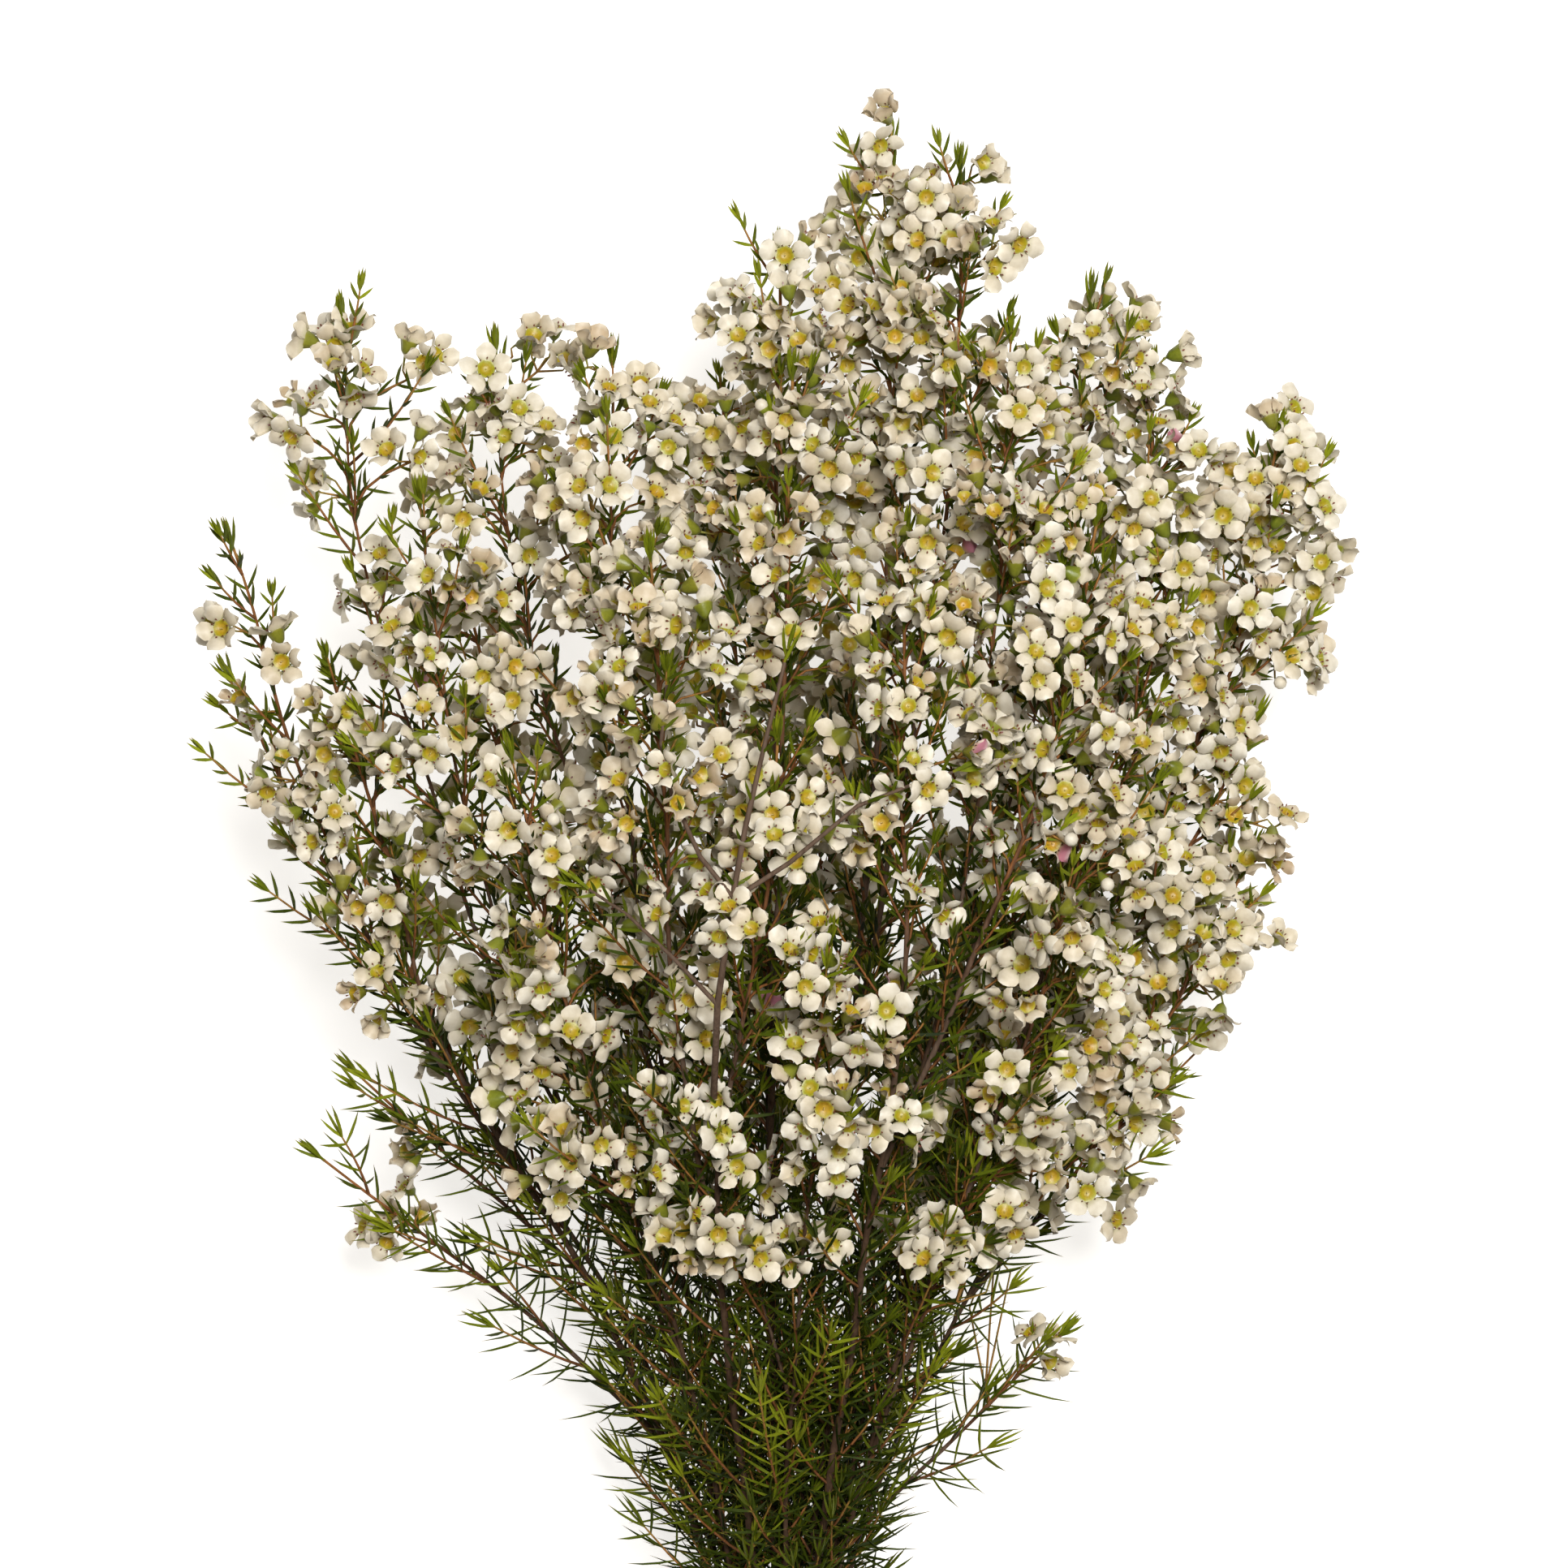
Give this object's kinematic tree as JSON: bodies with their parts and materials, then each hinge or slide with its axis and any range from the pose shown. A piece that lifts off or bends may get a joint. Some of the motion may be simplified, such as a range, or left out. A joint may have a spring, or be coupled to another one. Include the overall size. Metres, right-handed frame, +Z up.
{
  "type": "waxflower bunch",
  "caption": "Bunch of cut waxflower stems with needle leaves and small ivory five-petalled blooms, held at the neck by a rubber band and lying on a surface.",
  "frame": {"origin": "centre of the bunch's box, at the surface that it lies on", "axes": "+Y along the bunch from the cut ends to the tips, +Z up from the surface through the upper side, +X across the bunch"},
  "size_m": [0.4382, 0.6698, 0.2343],
  "materials": {
    "bark_and_leaf": "matte grey-brown bark with satin green needles",
    "petal": "waxy satin ivory petals with yellow-green centres",
    "rubber": "satin, tan"
  },
  "bodies": {
    "root": {"stem_crown": "bark_and_leaf", "spray_crown_1": "petal", "spray_crown_2": "petal", "stem_crown_left": "bark_and_leaf", "spray_crown_left_1": "petal", "spray_crown_left_2": "petal", "stem_crown_right": "bark_and_leaf", "spray_crown_right_1": "petal", "spray_crown_right_2": "petal", "stem_shoulder_right": "bark_and_leaf", "spray_shoulder_right_1": "petal", "spray_shoulder_right_2": "petal", "stem_shoulder_left": "bark_and_leaf", "spray_shoulder_left_1": "petal", "spray_shoulder_left_2": "petal", "stem_far_left": "bark_and_leaf", "spray_far_left_1": "petal", "spray_far_left_2": "petal", "stem_left": "bark_and_leaf", "spray_left_1": "petal", "spray_left_2": "petal", "spray_left_3": "petal", "stem_left_low": "bark_and_leaf", "spray_left_low_1": "petal", "spray_left_low_2": "petal", "spray_left_low_3": "petal", "stem_front_left": "bark_and_leaf", "spray_front_left_1": "petal", "spray_front_left_2": "petal", "stem_front_centre": "bark_and_leaf", "spray_front_centre_1": "petal", "spray_front_centre_2": "petal", "stem_front_low": "bark_and_leaf", "spray_front_low_1": "petal", "spray_front_low_2": "petal", "stem_front_right": "bark_and_leaf", "spray_front_right_1": "petal", "spray_front_right_2": "petal", "stem_front_right_low": "bark_and_leaf", "spray_front_right_low_1": "petal", "spray_front_right_low_2": "petal", "spray_front_right_low_3": "petal", "stem_right": "bark_and_leaf", "spray_right_1": "petal", "spray_right_2": "petal", "stem_right_low": "bark_and_leaf", "spray_right_low_1": "petal", "spray_right_low_2": "petal", "spray_right_low_3": "petal", "stem_under_left": "bark_and_leaf", "spray_under_left_1": "petal", "spray_under_left_2": "petal", "stem_under_centre": "bark_and_leaf", "spray_under_centre_1": "petal", "spray_under_centre_2": "petal", "stem_under_right": "bark_and_leaf", "spray_under_right_1": "petal", "spray_under_right_2": "petal", "rubber_band": "rubber"}
  },
  "joints": []
}
